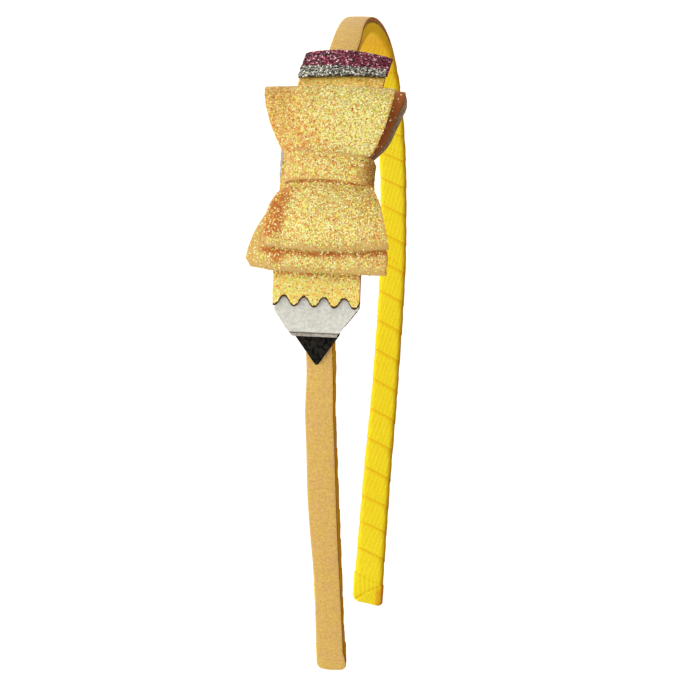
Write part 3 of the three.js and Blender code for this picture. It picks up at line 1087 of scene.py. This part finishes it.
# %% Wood and lead
wood_start = 82.8
wood_lift = 0.35
wood_shoulder = 86.85
wood_skew = 0.4
wood_end = 91.75
wood_wide = 8.55
wood_narrow = 4.4
lead_start = 90.0
lead_gap = 0.3
lead_wide = 4.6
lead_narrow = 0.3
pale_end = 0.5
score_end = 0.8
end_wall = 0.1


def tapered(place, start, end, wide, narrow):
    return wide + (narrow - wide) * np.clip((place - start) / (end - start), 0, 1)


def wood_half(place):
    return tapered(place, wood_shoulder, wood_end, wood_wide, wood_narrow)


def wood_seat(place):
    on_strip = wood_lift + seat_on_strip
    return tapered(place, wood_shoulder, lead_start - lead_gap, on_strip, seat_on_sheet)


def lead_half(place):
    return tapered(place, wood_end, lead_tip, lead_wide, lead_narrow)


wood = pencil_cut(
    "wood_canvas", wood_start, steady(wood_end), wood_half, wood_seat,
    columns=60, rows=60, skew=wood_skew)
thicken(wood, canvas_thick, [wood_cloth, grey_backing, burnt_edge, pale_edge, scored_line])
dress(wood, "white_canvas", "pencil_wood")
# Painted shade at the wood's end: a grey band for the cut edge in shade, and a dark line of shade above
# it.
_, wood_along = places_on_cut(wood)
to_end = np.max(wood_along) - wood_along
for face in wood.data.polygons:
    from_end = to_end[list(face.vertices)]
    if face.material_index == 0 and np.min(from_end) < score_end:
        face.material_index = 3 if np.min(from_end) < pale_end else 4
    elif face.material_index == 2 and np.max(from_end) < end_wall:
        face.material_index = 3
lead = pencil_cut(
    "lead_canvas", lead_start, steady(lead_tip), lead_half, steady(seat_on_strip),
    columns=40, rows=40)
thicken(lead, canvas_thick, [lead_cloth])
dress(lead, "black_canvas", "pencil_lead")

# %% [markdown]
# ## The bow
# Two bands of glitter canvas are each joined into a loop, pressed flat, and tied together at the
# waist by a third. A loop is cut as one long sheet, bent round a smooth closed line, and its two ends
# are merged. The tables give, for places out from the waist, the heights of the front and back sheets;
# a second table gives half of the width. The named values say how each loop was pushed about, and
# how strongly its wear, painted highlight and painted shade are marked.

# %% Places on the bow
bow_place = 62.0
line_points = 4000


def on_bow(along, across, height):
    """Points by place along the bow towards the crown, across it, and height over the band."""
    point, outward, crownward = arch_at(bow_place)
    along = np.asarray(along)[..., None]
    spot = point + crownward * along + outward * np.asarray(height)[..., None]
    spot[..., 1] += across
    return spot


def evenly_spaced(points, count):
    """Evenly spaced points on a line, and its length."""
    run = run_along(points)
    at = np.linspace(0, run[-1], count)
    return np.stack([np.interp(at, run, points[:, k]) for k in (0, 1)], 1), run[-1]


def closed_line(knots):
    """A smooth closed line through the knots, and its length."""
    knots = np.array(knots, float)
    fine = []
    step = np.linspace(0, 1, 40, endpoint=False)[:, None]
    for k in range(len(knots)):
        before, here, after, later = (knots[(k + shift) % len(knots)] for shift in (-1, 0, 1, 2))
        first = np.linalg.norm(here - before) ** 0.5
        second = np.linalg.norm(after - here) ** 0.5
        third = np.linalg.norm(later - after) ** 0.5
        leave = (here - before) / first - (after - before) / (first + second) + (after - here) / second
        arrive = (after - here) / second - (later - here) / (second + third) + (later - after) / third
        rise = 3 * step ** 2 - 2 * step ** 3
        fine.append(
            (1 - rise) * here + rise * after
            + (step ** 3 - 2 * step ** 2 + step) * leave * second
            + (step ** 3 - step ** 2) * arrive * second)
    fine = np.concatenate(fine)
    return evenly_spaced(np.vstack([fine, fine[:1]]), line_points)


def on_line(line, length, y):
    """Where a place along a flat cut falls on the closed line that it is bent round."""
    at = (y / length + 0.5) * (len(line) - 1)
    steps = np.arange(len(line))
    return np.interp(at, steps, line[:, 0]), np.interp(at, steps, line[:, 1])


print("the bow sits", bow_place, "mm from the crown")

# %% The two layers
pushes = (
    "low_left", "low_up", "low_rise", "low_sag", "corner_up", "corner_out", "high_up", "high_out",
    "curl", "waist_right", "tuck_back", "tuck_front", "tuck_low", "worn_left", "bare_right", "orange_left")
front_layer = {
    **dict.fromkeys(pushes, 0.0),
    "along": -0.95, "across": -3.0, "rise": -0.02, "lean": 0.06, "waist": -0.25, "middle": 10.5,
    "crown": 1.3, "crown_out": 0.5, "crown_back": 0.25, "sag": 0.5, "dent": 0.45, "square_half": 12.5,
    "low_right": -0.5, "low_up": 1.3, "low_rise": 0.02, "low_sag": 0.4,
    "high_rise": 0.024, "high_out": 0.4, "tuck_back": 1.1, "orange_left": 1.0,
    "crease": -3.0, "crease_slope": 0.04, "crease_width": 0.25, "crease_bow": -0.3,
    "rows": [
        (0, 11.1, 9.8), (3.6, 11.15, 9.8), (4.9, 11.4, 9.8), (8.5, 12.3, 9.6), (12.4, 12.5, 9.3),
        (15.1, 11.9, 9.4)],
    "fold": (16.4, 10.6),
    "half": [
        (0, 7.0), (2.5, 7.1), (3.0, 8.1), (3.6, 8.8), (5.2, 9.6), (8.5, 11.0), (12.4, 12.0),
        (15.6, 12.5), (17.4, 12.6)],
}
back_layer = {
    **dict.fromkeys(pushes, 0.0),
    "along": -1.15, "across": -2.4, "rise": 0.016, "lean": -0.038, "waist": 0.25, "middle": 7.6,
    "crown": 0.9, "crown_out": 0.3, "crown_back": 0.4, "sag": 0.2, "dent": 0.2, "square_half": 13.1,
    "low_right": 0.5, "low_left": 0.6, "corner_up": 0.45, "corner_out": 0.6,
    "high_rise": -0.06, "high_up": 0.1, "curl": 1.0, "waist_right": 1.0, "tuck_front": 0.2,
    "tuck_low": 0.9, "worn_left": 0.7, "bare_right": 0.95,
    "crease": -15.85, "crease_slope": -0.016, "crease_width": 0.48, "crease_bow": 0.6,
    "rows": [
        (0, 8.5, 7.2), (3.9, 8.5, 7.2), (5.3, 8.4, 6.9), (8.6, 8.3, 5.9), (12.6, 8.0, 4.9),
        (16.2, 7.4, 4.4), (17.9, 6.7, 4.7)],
    "fold": (18.6, 5.7),
    "half": [
        (0, 6.8), (2.5, 6.9), (3.0, 7.7), (3.8, 8.2), (5.3, 8.9), (8.6, 10.5), (12.6, 12.2),
        (16.2, 13.3), (17.9, 13.2), (18.6, 12.4), (19.2, 12.2)],
}


def loop_line(layer):
    """A layer's closed line of place along and height, from the waist's front round both folds."""
    fold = layer["fold"]
    front = [(along, height) for along, height, _ in layer["rows"]]
    back = [(along, height) for along, _, height in layer["rows"]]
    line = front + [fold] + back[::-1]
    line += [(-along, height) for along, height in back[1:]]
    line += [(-fold[0], fold[1])]
    line += [(-along, height) for along, height in front[:0:-1]]
    return closed_line(line)


for layer in (front_layer, back_layer):
    layer["line"], layer["length"] = loop_line(layer)
    layer["half_from"], layer["half_to"] = np.array(layer["half"]).T
    layer["widest"] = max(half for _, half in layer["half"])
    print("a loop's cut is", 2 * layer["widest"], "by", round(layer["length"], 1), "mm")

# %% Shape of a loop
fold_share = 0.03
waist_blend = (2, 14)
square_from = 15
waist_tuck = 0.65
gather_from = 2.8
gather_reach = 3.2
gather_depth = 0.16
gather_waves = 8.5
dent_share = 0.62


def back_sheet(layer, y):
    """1 on a loop's back sheet, 0 on its front."""
    at = y / layer["length"] + 0.5
    first = np.argmax(layer["line"][:, 0]) / (line_points - 1)
    second = np.argmin(layer["line"][:, 0]) / (line_points - 1)
    return between(at, first, first + fold_share, second - fold_share, second)


def loop_half(layer, share, along, behind):
    """Half of a loop's width, squared at the folds and tucked in where it is pulled tight."""
    out = np.abs(along - layer["waist"])
    half = np.interp(out, layer["half_from"], layer["half_to"])
    squared = np.maximum(half, layer["square_half"])
    half = np.where((share < 0) & (out > square_from), squared, half)
    half = half + np.where(share < 0, layer["waist_right"] * near(along, 7, 4), 0)
    tuck = layer["tuck_back"] * behind + layer["tuck_low"] * behind * smooth(-along, *waist_blend)
    tuck = tuck + layer["tuck_front"] * (1 - behind) * smooth(along, *waist_blend)
    waist_left = waist_tuck * near(out, 3.7, 1.4) * smooth(-along, 1, 3)
    return half - np.where(share < 0, tuck * smooth(out, 3, 6), waist_left)


def loop_lift(layer, x, share, along, height):
    """How far a loop's sheet is puffed, dented, gathered at the waist and curled off its line."""
    out = np.abs(along - layer["waist"])
    reach = np.clip(np.abs(along) / layer["fold"][0], 0, 1)
    front = np.clip((height - layer["middle"]) / canvas_thick, -1, 1)
    crown = (layer["crown"] * (1 - reach) + layer["crown_out"] * reach) * (1 - share ** 2)
    dent = layer["dent"] * near(share, dent_share, 0.2) * np.sqrt(reach) * np.clip(front, 0, 1)
    pinch = np.exp(-np.clip(out - gather_from, 0, None) / gather_reach)
    gather = gather_depth * pinch * np.cos(share * gather_waves + np.sign(along))
    gather = gather * np.clip(out / gather_from - 0.6, 0, 1)
    curl = layer["curl"] * smooth(-share, 0.5, 1.1) * smooth(along, 1, 8)
    lift = crown * np.clip(front, layer["crown_back"], 1) - dent + gather
    return lift + wavy(x, along, size=6.0, depth=0.1) - curl


def loop_place(layer, x, y):
    """Where a point of a loop's flat cut goes."""
    share = -x / layer["widest"]
    along, height = on_line(layer["line"], layer["length"], y)
    low = smooth(-along, *waist_blend)
    high = smooth(along, *waist_blend)
    reach = np.clip(np.abs(along) / layer["fold"][0], 0, 1)
    # Across the bow
    across = share * loop_half(layer, share, along, back_sheet(layer, y))
    across = across + low * np.where(share > 0, layer["low_left"], layer["low_right"]) * share
    across = across + layer["corner_out"] * smooth(-along, 15.8, 18.6) * np.maximum(share, 0)
    across = across + high * layer["high_out"] * share
    # Along the bow
    sag = layer["sag"] * (1 - share ** 2) * reach ** 3 * np.sign(along)
    risen = layer["along"] + along + sag + layer["rise"] * across
    low_dip = layer["low_sag"] * (1 - share ** 2)
    corner = layer["corner_up"] * smooth(share, 0.65, 1)
    risen = risen + low * (layer["low_up"] + layer["low_rise"] * across - low_dip + corner)
    risen = risen + high * (layer["high_up"] + layer["high_rise"] * np.maximum(across, 0))
    lift = loop_lift(layer, x, share, along, height)
    return on_bow(risen, layer["across"] + across + layer["lean"] * along, height + lift)


print("folds turn within", fold_share, "of a loop")

# %% [markdown]
# ### Wear and painted shade on the loops
# Handling rubs the flakes off at the folds; there and on one lower corner a plain tone also paints a
# highlight. Shade is painted as orange ground in creases and dents, brown on the back loop's right
# band, and orange under the front loop. The marks say where, and the ground and the scatter both read
# them.

# %% Wear on a loop
crease_loss = 0.92
dent_loss = 0.78
fold_loss = 0.85


def mark_wear(cut, layer):
    """Marks where a loop is worn and carries a painted highlight, where shade is painted on it, and how
    close its flakes lie.
    """
    spots = points_of(cut)
    widest = layer["widest"]
    along, _ = on_line(layer["line"], layer["length"], spots[:, 1])
    share = -spots[:, 0] / widest
    front = 1 - back_sheet(layer, spots[:, 1])
    to_fold = np.max(np.abs(layer["line"][:, 0])) - np.abs(along)
    # Folds and one lower corner lose flakes and take a plain tone: wear, and a painted highlight
    worn_fold = 1 - smooth(to_fold, 0.15, 1.1)
    worn_corner = layer["worn_left"] * smooth(share, 0.62, 0.8) * smooth(-along, 2, 12)
    # Paler flakes on one side above the waist and on the other below it: a painted highlight, for glints
    drift = 0.12 * np.sin(along * 0.35)
    high_patch = smooth(share + drift, -0.5, 0.8)
    low_patch = 0.38 + 0.35 * smooth(drift - share, 0.55, 0.95)
    patchy = high_patch + (low_patch - high_patch) * smooth(-along, 0, 3)
    # Painted shade: brown on the right band, orange in creases and dents
    bare = layer["bare_right"] * smooth(-share, 0.5, 0.7) * smooth(along, 1, 4) * front
    crease_at = layer["crease"] + layer["crease_slope"] * share * widest
    crease_at = crease_at + layer["crease_bow"] * share ** 2
    crease = near(along, crease_at, layer["crease_width"]) * smooth(0.86 - share, 0, 0.08)
    dented = smooth(share, 0.6, 0.78) * (1 - 0.6 * smooth(share, 0.93, 0.99)) * smooth(-along, 2, 6)
    dented = layer["orange_left"] * dented * smooth(to_fold, 0.7, 1.8)
    # Painted shade under the front loop
    patch = layer["worn_left"] * near(share, 0.58, 0.09) * near(along, crease_at - 1.0, 1.0)
    overhung = layer["worn_left"] * near(share - 0.012 * (along + 16), 0.8, 0.05)
    overhung = overhung * between(-along, 6, 9, 13.5, 15.5)
    # What is left of the flakes
    hot = np.clip(crease + 0.7 * overhung + 1.3 * patch, 0, 1)
    warm = np.clip(hot + 0.95 * dented, 0, 1)
    shown = smooth(widest - np.abs(spots[:, 0]), 0.0, 0.9)
    shown = shown * (1 - fold_loss * worn_fold) * (1 - worn_corner)
    spared = shown * (1 - crease_loss * hot) * (1 - dent_loss * dented) * (1 - bare)
    mark(
        cut, worn=np.maximum(worn_fold, worn_corner), warm=warm, bare=bare,
        cream=spared * (2.2 - 2.0 * patchy),
        pale=spared * (1.4 - 0.9 * patchy),
        deep=shown * (0.3 + 1.2 * patchy) * (1 + warm) * (1 - 0.7 * bare))


print("creases lose", crease_loss, "of their flakes")

# %% Bend the loops
same_spot = 1e-7


def bow_loop(name, layer, materials):
    cut = cut_sheet(name, 2 * layer["widest"], layer["length"], columns=60, rows=280)
    mark_wear(cut, layer)
    bend(cut, lambda x, y, _: loop_place(layer, x, y))
    whole_mesh(cut, bpy.ops.mesh.remove_doubles, threshold=same_spot)
    thicken(cut, canvas_thick, materials)
    return cut


bow_back = bow_loop("bow_back_canvas", back_layer, [gold_ground, grey_backing, cut_edge, dark_edge])
dress(bow_back, "gold_glitter", "bow_back_loops")
is_bare = np.empty(len(bow_back.data.vertices))
bow_back.data.attributes["bare"].data.foreach_get("value", is_bare)
back_across, back_along = places_on_cut(bow_back)
upper_middle = -0.12
upper_reach = 0.13
back_share = back_along / back_layer["length"]
upper_back = (back_across > 0) & (np.abs(back_share - upper_middle) < upper_reach)
# Cut edges in the painted deep shade take the brown edge, which paints their shade too; the upper back's
# edges take the backing.
for face in bow_back.data.polygons:
    corners = list(face.vertices)
    if face.material_index == 2 and np.max(is_bare[corners]) > 0.5:
        face.material_index = 3
    elif face.material_index == 2 and np.all(upper_back[corners]):
        face.material_index = 1
bow_front = bow_loop("bow_front_canvas", front_layer, [gold_ground, grey_backing, cut_edge])
dress(bow_front, "gold_glitter", "bow_front_loops")
back_flakes = sprinkle(bow_back, "bow_back_glitter", gold_glitter, "gold_glitter")
front_flakes = sprinkle(bow_front, "bow_front_glitter", gold_glitter, "gold_glitter")

# %% [markdown]
# ### The knot
# A narrow band of the same canvas goes round both waists. Its mouths flare a little where the
# bow widens out of them.

# %% Shape of the knot
knot_width = 5.2
knot_thick = 0.95
knot_along = -1.0
knot_across = -3.1
knot_rise = 0.035
knot_half = 8.15
knot_corner = 1.8
knot_crown = 1.25
knot_base = 5.4
knot_height = 7.3
knot_flare = 0.2
knot_pillow = 0.12
knot_lower_dip = 0.7
knot_droop = 0.5
ring_points = 2000
ring_corners = [(1, 1, 0), (-1, 1, 90), (-1, -1, 180), (1, -1, 270)]
ring_spots = rounded_box(knot_half, knot_height / 2 - half_sheet, knot_corner, ring_corners)
ring_spots = np.array([spot for spot, _ in ring_spots + ring_spots[:1]])
ring, knot_length = evenly_spaced(ring_spots, ring_points)


def knot_place(x, y, _):
    across, height = on_line(ring, knot_length, y)
    share = 2 * x / knot_width
    crown = np.where(height > 0, knot_crown * (1 - (across / knot_half) ** 2), 0)
    mouth = knot_flare * np.abs(share) ** 3 * np.abs(across / knot_half) ** 4 * np.sign(across)
    pillow = knot_pillow * (1 - share ** 2) - knot_lower_dip * smooth(share, 0.3, 1)
    pillow = pillow * np.clip(height / 2.5, 0, 1)
    across = across + mouth
    droop = knot_droop * smooth(share, 0, 1) * (across / knot_half) ** 2
    along = knot_along - x + knot_rise * across - droop
    return on_bow(along, knot_across + across, knot_base + knot_height / 2 + height + crown + pillow)


print("the knot's band is", round(knot_length, 1), "mm round")

# %% Tie the knot
knot = cut_sheet("knot_canvas", knot_width, knot_length, columns=26, rows=220)
knot_flat = points_of(knot)
knot_side, _ = on_line(ring, knot_length, knot_flat[:, 1])
from_edge = knot_width / 2 - np.abs(knot_flat[:, 0])
left_end = smooth(knot_side, 5.2, 7.6)
right_end = smooth(-knot_side, 5.6, 7.8)
# Painted highlight: a plain tone on the left end and the edges. Painted shade on the right end, lighter on
# the left. Both ends lose flakes.
knot_shown = smooth(from_edge, 0.0, 0.8) * (1 - 0.8 * left_end) * (1 - 0.6 * right_end)
mark(
    knot, worn=np.maximum(left_end, 1 - smooth(from_edge, 0.1, 0.7)),
    warm=0.44 * right_end + 0.15 * left_end, cream=knot_shown, pale=knot_shown, deep=knot_shown)
bend(knot, knot_place)
whole_mesh(knot, bpy.ops.mesh.remove_doubles, threshold=same_spot)
thicken(knot, knot_thick, [gold_ground, grey_backing, cut_edge])
dress(knot, "gold_glitter", "bow_knot")
knot_flakes = sprinkle(knot, "knot_glitter", gold_glitter, "gold_glitter")

# %% [markdown]
# ## What is cloth
# Trims narrower than ten millimetres go with the sheet that they are fixed to.


print("sheets declared: ribbon, body and two loops")

# %% [markdown]
# ## Camera
# The photograph was taken from a little above and to one side of the bow. The view is given in the
# headband's upright frame and turned onto the table with it, so the picture shows it upright.

# %% Camera
view_azimuth = math.radians(9.683)
view_elevation = math.radians(7.702)
view_roll = math.radians(1.371)
view_distance = 400.0
view_aim = np.array([0, 1.819, -73.197])
focal_pixels = 1732.4
frame_pixels = 700

back_way = Vector((
    -math.cos(view_elevation) * math.cos(view_azimuth),
    -math.cos(view_elevation) * math.sin(view_azimuth),
    math.sin(view_elevation)))
level = (-back_way).cross(Vector((0, 0, 1))).normalized()
upward = level.cross(-back_way)
right_way = level * math.cos(view_roll) + upward * math.sin(view_roll)
up_way = upward * math.cos(view_roll) - level * math.sin(view_roll)
lens = bpy.data.cameras.new("camera")
lens.sensor_width = 36
lens.lens = focal_pixels / frame_pixels * lens.sensor_width
lens.clip_start = 0.01
camera = bpy.data.objects.new("camera", lens)
bpy.context.scene.collection.objects.link(camera)
eye = on_table(view_aim + view_distance * np.array(back_way))
axes = Matrix([turned(right_way), turned(up_way), turned(back_way)]).transposed()
camera.matrix_world = Matrix.Translation(Vector(eye)) @ axes.to_4x4()
bpy.context.scene.camera = camera
print("camera", [round(value, 3) for value in eye], "lens", round(lens.lens, 1))

# %% [markdown]
# ## Floor and light
# A plain pale floor that glows a little, as a light table does, so that the headband lies on white.
# One wide soft light stands beside the camera, and a dim sky fills the rest, which leaves
# the sides that face away from the floor darker. A small lamp picks out the crown's inside.

# %% Floor
floor_size = 6
floor_drop = 0.0008
floor_glow = 0.92
bpy.ops.object.select_all(action="DESELECT")
bpy.ops.mesh.primitive_plane_add(size=floor_size, location=(0, 0, -floor_drop))
floor = bpy.context.object
floor.name = "floor"
paper, _, paper_shader = new_finish("pale floor", 0.9, specular=0.2)
paper_shader.inputs["Base Color"].default_value = grey(0.86)
paper_shader.inputs["Emission Color"].default_value = grey(1)
paper_shader.inputs["Emission Strength"].default_value = floor_glow
floor.data.materials.append(paper)
print("floor", floor_drop, "m under the table's level")

# %% Lights
def soft_light(name, place, aim, size, power, spread=180):
    lamp = bpy.data.lights.new(name, "AREA")
    lamp.shape = "DISK"
    lamp.size = size
    lamp.energy = power
    lamp.spread = math.radians(spread)
    stand = bpy.data.objects.new(name, lamp)
    bpy.context.scene.collection.objects.link(stand)
    stand.location = place
    way = Vector(aim) - Vector(place)
    stand.rotation_euler = way.to_track_quat("-Z", "Y").to_euler()


soft_light("key", (-0.6, 0.1, 0.12), (0, 0.02, 0.01), size=0.9, power=2.0)
soft_light("crown", (0.0, 0.03, 0.16), (0.0, 0.06, 0.012), size=0.03, power=0.0018, spread=30)
sky = bpy.data.worlds.new("sky")
sky.use_nodes = True
sky_light = sky.node_tree.nodes["Background"].inputs
sky_light["Color"].default_value = (1, 0.66, 0.4, 1)
sky_light["Strength"].default_value = 0.3
bpy.context.scene.world = sky
bpy.context.scene.view_settings.view_transform = "Standard"
print("lights:", len(bpy.data.lights))
